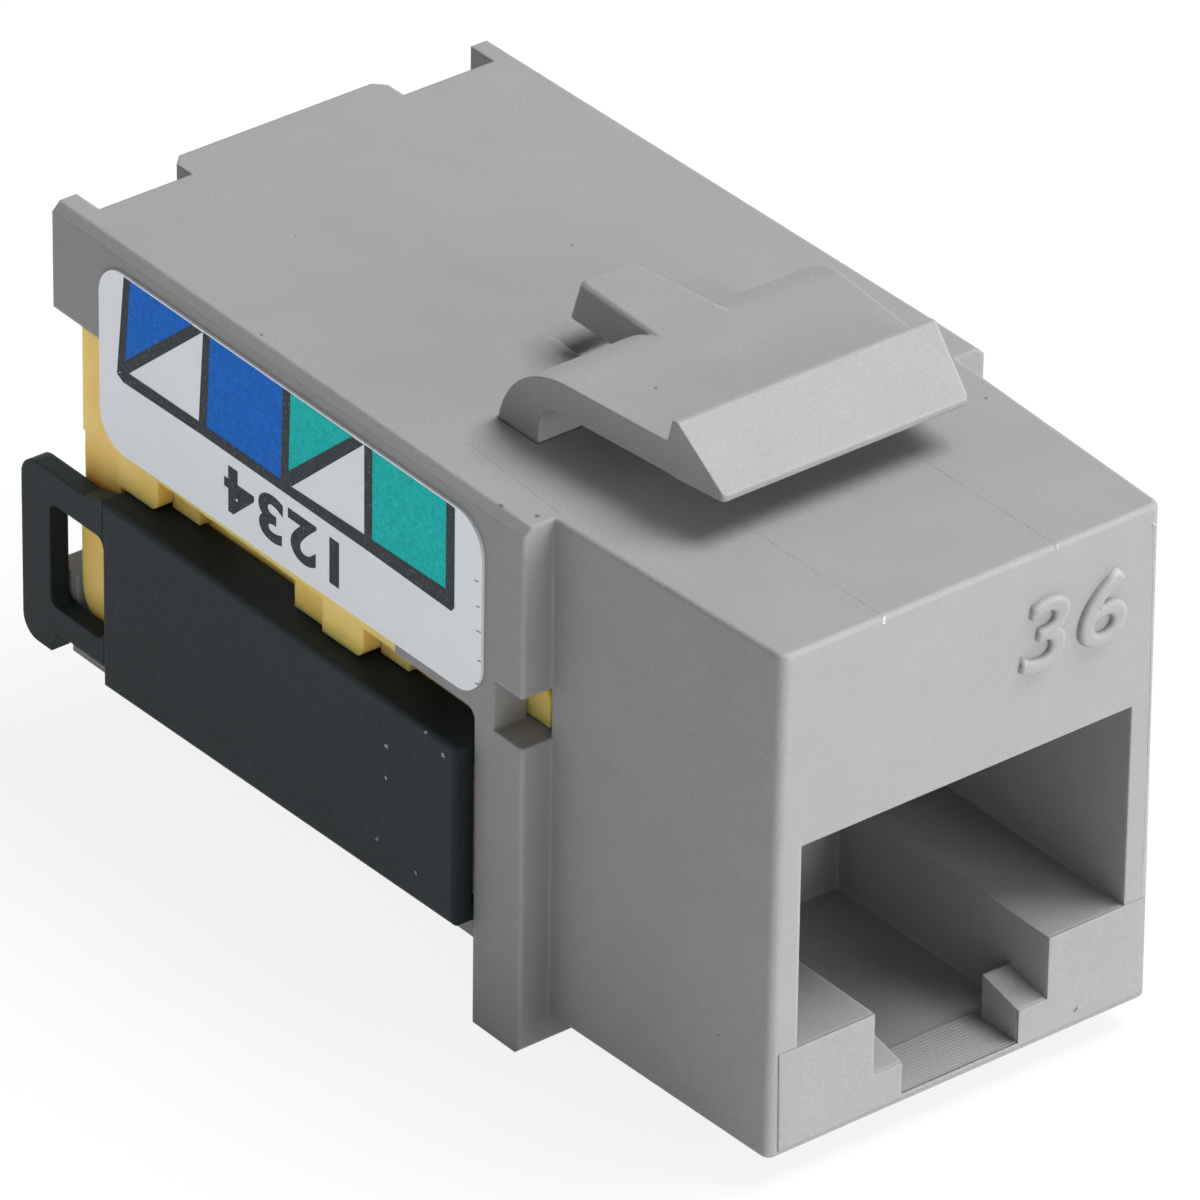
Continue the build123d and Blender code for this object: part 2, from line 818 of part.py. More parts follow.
with BuildPart() as label_right:
    with BuildSketch(label_plane):
        label_front = label_start_y - flange_rear
        with BuildLine():
            Polyline(
                (label_front, label_bottom + label_front_rise),
                (label_front + label_length, label_bottom),
                (label_front + label_length, label_bottom + label_height),
                (label_front, label_bottom + label_height),
                close=True,
            )
        label_outline = make_face()
        fillet(label_outline.vertices(), label_radius)
    extrude(amount=label_thickness)

with BuildPart() as label_left:
    mirror(label_right.part, about=Plane.YZ)


# Dust cap of the right side; the left one is its mirror image

with BuildPart() as dust_cap_right:
    plate_inner = cap_outer - cap_plate_thickness
    # Outer plate, its lower edge a little higher at the front
    with BuildSketch(Plane.YZ.offset(plate_inner)):
        with BuildLine():
            Polyline(
                (cap_start, cap_bottom + cap_bottom_rise),
                (cap_end, cap_bottom),
                (cap_end, cap_top),
                (cap_start, cap_top),
                close=True,
            )
        make_face()
    extrude(amount=cap_plate_thickness)
    plate_edges = dust_cap_right.faces().sort_by(Axis.X)[-1].edges()
    fillet(plate_edges, edge_radius)
    # Ledge over the slots and the lip below
    box_between(
        (plate_inner - cap_ledge_width, cap_start, cap_top - cap_ledge_depth),
        (plate_inner, cap_end, cap_top),
    )
    box_between(
        (plate_inner - cap_lip_width, cap_start, cap_bottom + cap_bottom_rise),
        (plate_inner, cap_end, cap_bottom + cap_lip_height),
    )
    for y in slot_places:
        # Ribs that press the wire home, split to pass the terminal
        rib_base = board_top + slide_clearance
        rib_split = terminal_height - 2 * slide_clearance
        rib_resume = terminal_height + terminal_thickness + 2 * slide_clearance
        rib_end = deck_height - slide_clearance
        for low_z, high_z in ((rib_base, rib_split), (rib_resume, rib_end)):
            box_between(
                (plate_inner - cap_rib_length, y - cap_rib_width / 2, low_z),
                (plate_inner, y + cap_rib_width / 2, high_z),
            )
    # Pull loop
    loop_outer = cap_outer - loop_recess
    low_bar_bottom = cap_bottom + loop_low_bar_rise
    with BuildSketch(Plane.YZ.offset(loop_outer)) as loop:
        with BuildLine():
            Polyline(
                (cap_end, low_bar_bottom),
                (loop_end_y - loop_bar - loop_window_radius, low_bar_bottom),
                (loop_end_y - loop_bar, board_top - loop_foot_drop),
                (loop_end_y, board_top - loop_foot_drop),
                (loop_end_y, loop_top),
                (cap_end + loop_ramp, loop_top),
                (cap_end, cap_top),
                close=True,
            )
        make_face()
        fillet(loop.vertices().group_by(Axis.X)[-1], loop_corner_radius)
        window_low = low_bar_bottom + loop_low_bar
        window_high = loop_top - loop_top_bar
        window_rear = loop_end_y - loop_bar
        with Locations(((cap_end + window_rear) / 2, (window_low + window_high) / 2)):
            RectangleRounded(
                window_rear - cap_end,
                window_high - window_low,
                loop_window_radius,
                mode=Mode.SUBTRACT,
            )
    extrude(amount=-cap_plate_thickness)

with BuildPart() as dust_cap_left:
    mirror(dust_cap_right.part, about=Plane.YZ)


# Names and files

housing.part.label = "housing"
latch_lever.part.label = "latch_lever"
circuit_board.part.label = "circuit_board"
contact_carrier.part.label = "contact_carrier"
contact_leads.part.label = "contact_leads"
idc_block_left.part.label = "idc_block_left"
idc_block_right.part.label = "idc_block_right"
label_left.part.label = "label_left"
label_right.part.label = "label_right"
dust_cap_left.part.label = "dust_cap_left"
dust_cap_right.part.label = "dust_cap_right"

export_step(housing.part, "parts/housing.step")
export_step(latch_lever.part, "parts/latch_lever.step")
export_step(circuit_board.part, "parts/circuit_board.step")
export_step(contact_carrier.part, "parts/contact_carrier.step")
export_step(contact_leads.part, "parts/contact_leads.step")
export_step(idc_block_left.part, "parts/idc_block_left.step")
export_step(idc_block_right.part, "parts/idc_block_right.step")
export_step(label_left.part, "parts/label_left.step")
export_step(label_right.part, "parts/label_right.step")
export_step(dust_cap_left.part, "parts/dust_cap_left.step")
export_step(dust_cap_right.part, "parts/dust_cap_right.step")
for number, contact in enumerate(spring_contacts, start=1):
    export_step(contact, f"parts/spring_contact_{number}.step")
for number, terminal_part in enumerate(idc_terminals, start=1):
    terminal_part.label = f"idc_terminal_{number}"
    export_step(terminal_part, f"parts/idc_terminal_{number}.step")
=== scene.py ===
import math

import bmesh
import bpy
from mathutils import Matrix, Vector


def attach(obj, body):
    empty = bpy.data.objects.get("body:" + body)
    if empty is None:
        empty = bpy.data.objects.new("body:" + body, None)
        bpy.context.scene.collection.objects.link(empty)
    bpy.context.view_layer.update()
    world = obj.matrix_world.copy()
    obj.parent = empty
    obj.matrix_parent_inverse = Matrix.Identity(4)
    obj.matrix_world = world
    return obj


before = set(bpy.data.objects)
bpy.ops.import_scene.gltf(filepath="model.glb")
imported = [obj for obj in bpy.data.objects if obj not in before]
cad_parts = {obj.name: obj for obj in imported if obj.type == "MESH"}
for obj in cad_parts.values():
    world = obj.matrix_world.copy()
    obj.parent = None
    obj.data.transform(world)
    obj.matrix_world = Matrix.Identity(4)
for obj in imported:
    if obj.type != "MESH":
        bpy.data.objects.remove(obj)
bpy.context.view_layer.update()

MM = 0.001

# Places and sizes of the jack, in millimetres, that the added pieces sit on
BODY_HEIGHT = 16.5
FLANGE_REAR = 11.65
FLANGE_HALF = 8.275
TAPER = 0.45 / 2 / (31.9 - 11.65)
LABEL_THICKNESS = 0.1
FOOT_Z = -0.95
PORT_FLOOR = 3.46
CHANNEL_HALF = 3.16
LIP_HALF = 2.12
LIP_TOP = 1.42
CHANNEL_FLOOR = 0.34
FACE_NUMBER_PLACE = (3.72, 13.85)
LABEL_NUMBER_PLACE = (20.65, 11.21)
LABEL_CRUMPLE = (-8.35, 11.75, 10.3)

# The photograph's view, its angles in degrees and its lengths in millimetres
CAMERA_TURN = -38.59
CAMERA_LIFT = 31.87
CAMERA_ROLL = 0.77
CAMERA_DISTANCE = 357
CAMERA_TARGET = (-5.16, 10.0, 12.82)
CAMERA_LENS = 383.7
CAMERA_SENSOR = 36

# The floor's white shown to the camera, the rest of it keeping the object's shadow
FLOOR_GREY = 0.86
FLOOR_WHITE_SHARE = 0.86
SKY_LEVEL = 0.2
LAMP_DISTANCE = 0.45
LAMP_AIM = (0, 0.014, 0.008)


# Node material helpers


class Paint:
    """A node material under construction, with its Principled shader at hand."""

    def __init__(self, name):
        self.material = bpy.data.materials.new(name)
        self.material.use_nodes = True
        self.tree = self.material.node_tree
        self.shader = self.tree.nodes["Principled BSDF"]
        self.coords = self.tree.nodes.new("ShaderNodeTexCoord").outputs["Object"]

    def link(self, source, target):
        self.tree.links.new(source, target)

    def feed(self, socket, value):
        """Links a socket to another one's output, or sets its value."""
        if isinstance(value, bpy.types.NodeSocket):
            self.link(value, socket)
        else:
            socket.default_value = value

    def setting(self, name, value):
        self.feed(self.shader.inputs[name], value)

    def noise(self, scale, detail=2.0, roughness=0.5):
        node = self.tree.nodes.new("ShaderNodeTexNoise")
        self.link(self.coords, node.inputs["Vector"])
        node.inputs["Scale"].default_value = scale
        node.inputs["Detail"].default_value = detail
        node.inputs["Roughness"].default_value = roughness
        return node.outputs["Fac"]

    def remap(self, value, low_in, high_in, low_out, high_out):
        node = self.tree.nodes.new("ShaderNodeMapRange")
        self.feed(node.inputs["Value"], value)
        node.inputs["From Min"].default_value = low_in
        node.inputs["From Max"].default_value = high_in
        node.inputs["To Min"].default_value = low_out
        node.inputs["To Max"].default_value = high_out
        return node.outputs["Result"]

    def math(self, operation, first, second=0.0):
        node = self.tree.nodes.new("ShaderNodeMath")
        node.operation = operation
        self.feed(node.inputs[0], first)
        self.feed(node.inputs[1], second)
        return node.outputs[0]

    def mix(self, factor, first, second):
        node = self.tree.nodes.new("ShaderNodeMix")
        node.data_type = "RGBA"
        self.feed(node.inputs["Factor"], factor)
        self.feed(node.inputs["A"], first)
        self.feed(node.inputs["B"], second)
        return node.outputs["Result"]

    def soft_normal(self, radius):
        """The surface's normal with its edges rounded over the radius."""
        node = self.tree.nodes.new("ShaderNodeBevel")
        node.samples = 4
        node.inputs["Radius"].default_value = radius
        return node.outputs["Normal"]

    def edge_mask(self, soft):
        """From 0 on flat faces to 1 on edges, by how far the rounded normal leans."""
        geometry = self.tree.nodes.new("ShaderNodeNewGeometry")
        dot = self.tree.nodes.new("ShaderNodeVectorMath")
        dot.operation = "DOT_PRODUCT"
        self.link(soft, dot.inputs[0])
        self.link(geometry.outputs["True Normal"], dot.inputs[1])
        return self.remap(dot.outputs["Value"], 1.0, 0.9, 0.0, 1.0)

    def bump(self, height, strength, distance, normal=None):
        node = self.tree.nodes.new("ShaderNodeBump")
        node.inputs["Strength"].default_value = strength
        node.inputs["Distance"].default_value = distance
        self.link(height, node.inputs["Height"])
        if normal is not None:
            self.link(normal, node.inputs["Normal"])
        return node.outputs["Normal"]

    def spot(self, place, radius, ragged):
        """1 inside a small ragged speck at a place, 0 outside."""
        node = self.tree.nodes.new("ShaderNodeVectorMath")
        node.operation = "DISTANCE"
        self.link(self.coords, node.inputs[0])
        node.inputs[1].default_value = [c * MM for c in place]
        distance = self.math("ADD", node.outputs["Value"], ragged)
        return self.remap(distance, radius * MM, radius * 0.5 * MM, 0.0, 1.0)

    def spots(self, places):
        ragged = self.remap(self.noise(9000, 2), 0.35, 0.65, -0.04 * MM, 0.06 * MM)
        total = 0.0
        for *place, radius in places:
            total = self.math("MAXIMUM", total, self.spot(place, radius, ragged))
        return total


def rgb(red, green, blue):
    """A linear colour from the sRGB values 0 to 255 that it shows as."""
    def linear(value):
        value /= 255
        return value / 12.92 if value <= 0.04045 else ((value + 0.055) / 1.055) ** 2.4
    return (linear(red), linear(green), linear(blue), 1.0)


def scaled(colour, factor):
    return tuple(min(1.0, c * factor) for c in colour[:3]) + (1.0,)


def moulded_plastic(name, colour, roughness, specular, mottle, grain, bevel, specks=(), speck_colour=None):
    """Moulded plastic: mottled colour, fine dark grain, edges softened over the bevel and lightened by a
    painted highlight, specks.
    """
    paint = Paint(name)
    soft = paint.soft_normal(bevel * MM)
    cloud = paint.remap(paint.noise(500, 3), 0.3, 0.7, 0.0, 1.0)
    base = paint.mix(cloud, scaled(colour, 1 - mottle), scaled(colour, 1 + mottle))
    fine = paint.remap(paint.noise(14000, 3, 0.7), 0.38, 0.62, 0.0, 1.0)
    dots = paint.math("MULTIPLY", fine, grain)
    base = paint.mix(dots, base, scaled(colour, 0.45))
    # Painted highlight: edges turned paler where the rounded normal leans, standing in for light caught on
    # the rounded edges.
    edge_highlight = paint.math("MULTIPLY", paint.edge_mask(soft), 0.4)
    base = paint.mix(edge_highlight, base, scaled(colour, 1.7))
    if specks:
        base = paint.mix(paint.spots(specks), base, speck_colour)
    paint.setting("Base Color", base)
    paint.setting("Roughness", paint.remap(fine, 0.0, 1.0, roughness - 0.06, roughness + 0.06))
    paint.setting("Specular IOR Level", specular)
    paint.setting("Normal", paint.bump(fine, 0.45, 0.007 * MM, soft))
    return paint.material


# Specks on the surfaces: x, y, z and radius
GREY_SPECKS = [
    (-3.1, 10.26, 18.85, 0.09),
    (6.45, 7.28, 16.5, 0.08),
    (-7.96, 10.95, 16.5, 0.13),
    (-7.72, 22.33, 16.5, 0.08),
    (-7.5, 9.9, 16.5, 0.1),
    (-7.0, 1.34, 8.36, 0.06),
    (4.26, -0.03, 0.65, 0.1),
    (6.59, 0.0, 0.3, 0.09),
    (-6.95, 2.2, 3.1, 0.05),
    (2.4, 21.0, 16.5, 0.06),
    (-3.6, 26.2, 16.5, 0.05),
]
CAP_SPECKS = [
    (-8.9, 14.92, 6.93, 0.1),
    (-8.9, 13.13, 8.3, 0.08),
    (-8.9, 12.29, 7.97, 0.09),
    (-8.9, 14.92, 5.86, 0.06),
    (-8.9, 15.33, 3.59, 0.07),
    (-8.9, 13.51, 3.38, 0.05),
    (8.9, 20.4, 4.8, 0.08),
    (8.9, 24.9, 6.3, 0.05),
]


def grey_paint():
    return moulded_plastic(
        "grey_plastic", rgb(149, 149, 149), 0.58, 0.12, 0.025, 0.2, 0.15, GREY_SPECKS, rgb(96, 95, 94)
    )


def carrier_paint():
    return moulded_plastic("carrier_plastic", rgb(120, 121, 123), 0.5, 0.3, 0.03, 0.12, 0.08)


def cap_paint():
    return moulded_plastic(
        "black_plastic", rgb(34, 43, 46), 0.46, 0.1, 0.05, 0.18, 0.12, CAP_SPECKS, rgb(150, 156, 160)
    )


def amber_paint():
    """Translucent amber plastic that glows a little where the light comes through."""
    paint = Paint("amber_plastic")
    soft = paint.soft_normal(0.12 * MM)
    cloud = paint.remap(paint.noise(350, 2), 0.3, 0.7, 0.0, 1.0)
    base = paint.mix(cloud, rgb(248, 204, 104), rgb(255, 216, 124))
    # Painted highlight: edges turned pale amber where the rounded normal leans.
    edge_highlight = paint.math("MULTIPLY", paint.edge_mask(soft), 0.3)
    paint.setting("Base Color", paint.mix(edge_highlight, base, rgb(255, 232, 165)))
    paint.setting("Roughness", 0.32)
    paint.setting("Specular IOR Level", 0.4)
    paint.setting("Subsurface Weight", 0.7)
    paint.setting("Subsurface Radius", (0.9, 0.5, 0.12))
    paint.setting("Subsurface Scale", 1.2 * MM)
    paint.setting("Normal", paint.bump(paint.noise(2500, 2), 0.15, 0.01 * MM, soft))
    return paint.material


def board_paint():
    paint = Paint("board")
    weave = paint.remap(paint.noise(1800, 2), 0.35, 0.65, 0.0, 1.0)
    paint.setting("Base Color", paint.mix(weave, rgb(22, 82, 48), rgb(34, 104, 62)))
    paint.setting("Roughness", 0.35)
    paint.setting("Normal", paint.bump(weave, 0.2, 0.01 * MM))
    return paint.material


def metal_paint(name, colour, roughness):
    paint = Paint(name)
    streak = paint.remap(paint.noise(3000, 3), 0.3, 0.7, 0.0, 1.0)
    paint.setting("Base Color", paint.mix(streak, scaled(colour, 0.86), colour))
    paint.setting("Metallic", 1.0)
    paint.setting("Roughness", paint.remap(streak, 0.0, 1.0, roughness - 0.05, roughness + 0.08))
    paint.setting("Normal", paint.bump(streak, 0.1, 0.004 * MM))
    return paint.material


def film_paint(name, colour, grain):
    """The label's film: white plastic with the faintest mottle, crumpled at its lower front corner."""
    paint = Paint(name)
    cloud = paint.remap(paint.noise(420, 3), 0.3, 0.7, 0.0, 1.0)
    paint.setting("Base Color", paint.mix(cloud, scaled(colour, 1 - grain), colour))
    paint.setting("Roughness", 0.5)
    paint.setting("Specular IOR Level", 0.2)
    crumple = paint.math("MULTIPLY", paint.spot(LABEL_CRUMPLE, 1.1, 0.0), paint.noise(2600, 1))
    height = paint.math("ADD", paint.noise(700, 2), paint.math("MULTIPLY", crumple, 4.0))
    paint.setting("Normal", paint.bump(height, 0.25, 0.02 * MM))
    return paint.material


def ink_paint(name, colour, dot_colour, density):
    """Printed ink with the fine light dots of the print's screen."""
    paint = Paint(name)
    cloud = paint.remap(paint.noise(5000, 3, 0.7), 0.3, 0.7, 0.0, 1.0)
    base = paint.mix(cloud, scaled(colour, 0.85), scaled(colour, 1.2))
    dots = paint.remap(paint.noise(13000, 1), 0.62, 0.72, 0.0, density)
    paint.setting("Base Color", paint.mix(dots, base, dot_colour))
    paint.setting("Roughness", 0.6)
    paint.setting("Specular IOR Level", 0.12)
    paint.setting("Normal", paint.bump(cloud, 0.2, 0.003 * MM))
    return paint.material


def line_paint():
    """Painted shade along a fine mould line, standing in for the shade at its small step."""
    paint = Paint("mould_line_shade")
    wear = paint.remap(paint.noise(2500, 3), 0.35, 0.6, 0.0, 1.0)
    paint.setting("Base Color", paint.mix(wear, rgb(132, 132, 132), rgb(147, 147, 147)))
    paint.setting("Roughness", 0.6)
    paint.setting("Specular IOR Level", 0.2)
    return paint.material


def vestige_paint():
    """Pale torn plastic, where a gate or flash broke off, made paler still as a painted highlight where the
    small nubs catch the light.
    """
    paint = Paint("torn_grey_plastic_with_painted_highlight")
    tear = paint.remap(paint.noise(9000, 2), 0.35, 0.65, 0.0, 1.0)
    paint.setting("Base Color", paint.mix(tear, rgb(165, 165, 165), rgb(212, 212, 212)))
    paint.setting("Roughness", 0.5)
    paint.setting("Normal", paint.bump(tear, 0.4, 0.01 * MM))
    return paint.material


paints = {
    "grey": grey_paint(),
    "vestige": vestige_paint(),
    "carrier": carrier_paint(),
    "cap": cap_paint(),
    "amber": amber_paint(),
    "board": board_paint(),
    "gold": metal_paint("gold_plate", rgb(232, 190, 96), 0.28),
    "tin": metal_paint("tin_plate", rgb(198, 198, 194), 0.32),
    "film": film_paint("label_film", rgb(235, 239, 245), 0.03),
    "blue": ink_paint("ink_blue", rgb(6, 101, 198), rgb(90, 160, 235), 0.3),
    "teal": ink_paint("ink_teal", rgb(10, 182, 180), rgb(110, 220, 215), 0.3),
    "orange": ink_paint("ink_orange", rgb(232, 120, 30), rgb(255, 200, 150), 0.4),
    "brown": ink_paint("ink_brown", rgb(122, 74, 40), rgb(180, 140, 110), 0.35),
    "black": ink_paint("ink_black", rgb(56, 60, 64), rgb(165, 170, 175), 0.3),
    "line": line_paint(),
}

NODE_PAINTS = {
    "housing": "grey",
    "latch_lever": "grey",
    "contact_carrier": "carrier",
    "contact_leads": "gold",
    "circuit_board": "board",
    "idc_block_left": "amber",
    "idc_block_right": "amber",
    "label_left": "film",
    "label_right": "film",
    "dust_cap_left": "cap",
    "dust_cap_right": "cap",
}


def paint_node(name, node):
    if name.startswith("spring_contact"):
        key = "gold"
    elif name.startswith("idc_terminal"):
        key = "tin"
    else:
        key = NODE_PAINTS[name]
    node.data.materials.clear()
    node.data.materials.append(paints[key])


for node_name, node_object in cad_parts.items():
    paint_node(node_name, node_object)


# Mesh helpers


def add_piece(name, mesh, paint, body):
    """Makes a mesh in metres a painted piece that rides on a body."""
    mesh.materials.clear()
    mesh.materials.append(paints[paint])
    piece = bpy.data.objects.new(name, mesh)
    bpy.context.scene.collection.objects.link(piece)
    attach(piece, body)


def make_piece(name, bm, paint, body):
    """Turns a mesh in millimetres into a piece that rides on a body."""
    bmesh.ops.recalc_face_normals(bm, faces=bm.faces)
    mesh = bpy.data.meshes.new(name)
    bm.to_mesh(mesh)
    bm.free()
    for vertex in mesh.vertices:
        vertex.co *= MM
    add_piece(name, mesh, paint, body)


def prism(bm, outline, low, high):
    """A closed plate from an outline: low and high turn a point of it into its two places."""
    bottom = [bm.verts.new(low(*point)) for point in outline]
    top = [bm.verts.new(high(*point)) for point in outline]
    bm.faces.new(top)
    bm.faces.new(bottom[::-1])
    count = len(outline)
    for i in range(count):
        j = (i + 1) % count
        bm.faces.new((bottom[i], bottom[j], top[j], top[i]))


# Printed labels


def side_place(side, y, z, lift):
    """A point on a label's outer face, raised by lift."""
    half = FLANGE_HALF - TAPER * (y - FLANGE_REAR) + LABEL_THICKNESS + lift
    return Vector((side * half, y, z))


def print_area(name, side, outline, paint, lift):
    """A thin printed plate on a label, its outline given as places along and up the label."""
    bm = bmesh.new()
    prism(
        bm,
        outline,
        lambda y, z: side_place(side, y, z, -0.01),
        lambda y, z: side_place(side, y, z, lift),
    )
    make_piece(name, bm, paint, "jack")


LABEL_FIELDS = {
    "first_corner": [(27.96, 15.8), (24.9, 15.8), (28.24, 12.9)],
    "first_field": [(24.05, 15.8), (20.55, 15.8), (20.64, 12.5), (24.26, 12.5)],
    "second_corner": [(20.2, 15.8), (17.25, 15.8), (20.32, 13.0)],
    "second_field": [(16.34, 15.8), (12.87, 15.8), (12.92, 12.6), (16.33, 12.6)],
}
LABEL_BARS = {
    "bar_1": [(28.24, 15.8), (27.93, 15.8), (28.24, 12.72), (28.62, 12.42)],
    "bar_2": [(24.38, 15.8), (24.04, 15.8), (24.24, 12.74), (24.62, 12.7)],
    "bar_3": [(20.56, 15.8), (20.2, 15.8), (20.3, 12.8), (20.68, 12.7)],
    "bar_4": [(16.71, 15.8), (16.33, 15.8), (16.33, 12.75), (16.7, 12.75)],
    "bar_5": [(12.88, 15.8), (12.5, 15.78), (12.5, 12.52), (12.62, 12.36), (12.9, 12.4)],
    "diagonal_1": [(24.95, 15.78), (24.42, 15.78), (28.1, 12.62), (28.56, 12.5), (28.28, 12.96)],
    "diagonal_2": [(17.3, 15.78), (16.75, 15.78), (20.22, 12.68), (20.6, 12.6), (20.38, 13.12)],
    "base_line": [
        (28.62, 12.42),
        (28.3, 12.26),
        (24.5, 12.36),
        (20.6, 12.38),
        (16.5, 12.4),
        (12.66, 12.36),
        (12.6, 12.8),
        (12.95, 12.96),
        (16.5, 12.86),
        (20.5, 12.72),
        (24.4, 12.74),
        (28.1, 12.68),
    ],
}


def label_print(side, word, first_ink, second_ink):
    """Coloured fields and the black bars over them, each bar a little higher than the one before."""
    for field, outline in LABEL_FIELDS.items():
        ink = first_ink if field.startswith("first") else second_ink
        print_area(f"label_{word}_{field}", side, outline, ink, 0.006)
    for i, (bar, outline) in enumerate(LABEL_BARS.items()):
        print_area(f"label_{word}_{bar}", side, outline, "black", 0.009 + 0.0008 * i)


# Short dark marks at the label's front edge: y, z and length
TICKS = [
    (11.3, 10.55, 0.22),
    (11.26, 11.35, 0.16),
    (11.28, 12.3, 0.2),
    (11.34, 13.1, 0.14),
    (11.4, 13.9, 0.18),
]


def label_ticks(side, word):
    """Short dark marks along the label's front edge."""
    for i, (y, z, length) in enumerate(TICKS):
        outline = [(y, z), (y + length, z - 0.03), (y + length, z + 0.02), (y, z + 0.05)]
        print_area(f"label_{word}_tick_{i + 1}", side, outline, "line", 0.004)


label_print(-1, "left", "blue", "teal")
label_ticks(-1, "left")
label_print(1, "right", "orange", "brown")


# Plain numbers: raised on the face, printed upside down on the labels


def text_mesh(text, thickness, bevel, weight):
    """A number as a mesh in the plane of X and Y, its strokes widened by the weight."""
    curve = bpy.data.curves.new("number", "FONT")
    curve.body = text
    curve.align_x = "CENTER"
    curve.align_y = "CENTER"
    curve.extrude = thickness
    curve.bevel_depth = bevel
    curve.bevel_resolution = 2
    curve.offset = weight
    curve.space_character = 1.12
    curve.resolution_u = 6
    holder = bpy.data.objects.new("number", curve)
    bpy.context.scene.collection.objects.link(holder)
    bpy.context.view_layer.update()
    evaluated = holder.evaluated_get(bpy.context.evaluated_depsgraph_get())
    mesh = bpy.data.meshes.new_from_object(evaluated)
    bpy.data.objects.remove(holder)
    return mesh


def set_number(mesh, width, height, place, smooth):
    """Sets a number's mesh on a surface: place turns across, up and out into a point in millimetres."""
    xs = [v.co.x for v in mesh.vertices]
    ys = [v.co.y for v in mesh.vertices]
    wide, tall = max(xs) - min(xs), max(ys) - min(ys)
    middle_x, middle_y = (max(xs) + min(xs)) / 2, (max(ys) + min(ys)) / 2
    for vertex in mesh.vertices:
        across = (vertex.co.x - middle_x) / wide * width
        up = (vertex.co.y - middle_y) / tall * height
        out = vertex.co.z / tall * height
        vertex.co = place(across, up, out) * MM
    for polygon in mesh.polygons:
        polygon.use_smooth = smooth


def face_number():
    """Two raised digits on the port face, leaning to the right."""
    middle_x, middle_z = FACE_NUMBER_PLACE

    def place(across, up, out):
        return Vector((middle_x + across + 0.16 * up, -out, middle_z + up))

    mesh = text_mesh("36", 0.035, 0.038, -0.02)
    set_number(mesh, 3.7, 2.3, place, True)
    add_piece("face_number", mesh, "grey", "jack")


def label_number(side, word):
    """Four printed digits, upside down under the base line."""
    middle_y, middle_z = LABEL_NUMBER_PLACE

    def place(across, up, out):
        return side_place(side, middle_y - side * across, middle_z - up, 0.1 * out)

    mesh = text_mesh("1234", 0.04, 0.0, 0.034)
    set_number(mesh, 5.5, 1.55, place, False)
    add_piece(f"label_{word}_number", mesh, "black", "jack")


face_number()
label_number(-1, "left")
label_number(1, "right")


# Fine mould detail


def ribbon(name, points, normal, width, height, paint):
    """A low rounded ridge along a line of points on the housing."""
    bm = bmesh.new()
    up = Vector(normal).normalized()
    sink = up * -0.02
    rows = []
    for i, point in enumerate(points):
        here = Vector(point)
        before = Vector(points[max(i - 1, 0)])
        after = Vector(points[min(i + 1, len(points) - 1)])
        across = (after - before).normalized().cross(up).normalized()
        rows.append([
            bm.verts.new(here - across * width / 2 + sink),
            bm.verts.new(here - across * width / 4 + up * height * 0.8),
            bm.verts.new(here + up * height),
            bm.verts.new(here + across * width / 4 + up * height * 0.8),
            bm.verts.new(here + across * width / 2 + sink),
        ])
    for one, two in zip(rows, rows[1:]):
        for a, b in zip(range(4), range(1, 5)):
            bm.faces.new((one[a], one[b], two[b], two[a]))
        bm.faces.new((one[4], one[0], two[0], two[4]))
    bm.faces.new(rows[0])
    bm.faces.new(rows[-1][::-1])
    make_piece(name, bm, paint, "jack")


def face_panel():
    """The slightly proud panel round the latch channel's mouth."""
    outline = [
        (-6.55, 0.2), (6.64, 0.2), (6.66, PORT_FLOOR), (CHANNEL_HALF, PORT_FLOOR),
        (CHANNEL_HALF, LIP_TOP), (LIP_HALF, LIP_TOP), (LIP_HALF, CHANNEL_FLOOR),
        (-LIP_HALF, CHANNEL_FLOOR), (-LIP_HALF, LIP_TOP), (-CHANNEL_HALF, LIP_TOP),
        (-CHANNEL_HALF, PORT_FLOOR), (-6.6, PORT_FLOOR),
    ]
    bm = bmesh.new()
    prism(bm, outline, lambda x, z: Vector((x, 0.02, z)), lambda x, z: Vector((x, -0.035, z)))
    make_piece("face_panel", bm, "grey", "jack")


def channel_marks():
    """Tool marks across the front of the channel's floor."""
    marks = 15
    steps = marks * 6
    bm = bmesh.new()
    rows = []
    for i in range(steps + 1):
        y = 0.02 + 1.93 * i / steps
        z = CHANNEL_FLOOR + 0.024 + 0.022 * math.sin(2 * math.pi * marks * i / steps)
        rows.append([bm.verts.new((x, y, z)) for x in (-LIP_HALF + 0.01, LIP_HALF - 0.01)])
    for one, two in zip(rows, rows[1:]):
        bm.faces.new((one[0], one[1], two[1], two[0]))
    make_piece("channel_tool_marks", bm, "grey", "jack")


def mould_lines():
    """Fine parting lines on the top and the face."""
    up = (0, 0, 1)
    top = BODY_HEIGHT
    ribbon("mould_line_right", [(2.98, 0.2, top), (2.9, 7.2, top)], up, 0.06, 0.006, "line")
    ribbon("mould_line_left", [(-3.2, 0.2, top), (-3.22, 6.4, top)], up, 0.06, 0.006, "line")
    ribbon("mould_line_flange", [(-6.92, 9.5, top), (-6.66, 14.1, top)], up, 0.05, 0.005, "line")
    face_line = [(6.6, 0, 3.6), (6.6, 0, 10.1), (6.49, 0, 15.8)]
    ribbon("mould_line_face", face_line, (0, -1, 0), 0.05, 0.006, "line")


def mould_nubs():
    """Torn nubs where the parting lines meet the face."""
    leaning = (0, -1, 0.4)
    top = BODY_HEIGHT
    right = [(2.96, 0.03, top - 0.1), (2.96, 0.03, top + 0.005)]
    left = [(-3.2, 0.03, top - 0.24), (-3.2, 0.05, top - 0.02)]
    corner = [(6.46, 0.0, 15.86), (6.52, 0.0, 15.9)]
    ribbon("mould_nub_right", right, leaning, 0.14, 0.06, "vestige")
    ribbon("mould_nub_left", left, leaning, 0.16, 0.05, "vestige")
    ribbon("mould_nub_corner", corner, (0, -1, 0), 0.14, 0.06, "vestige")


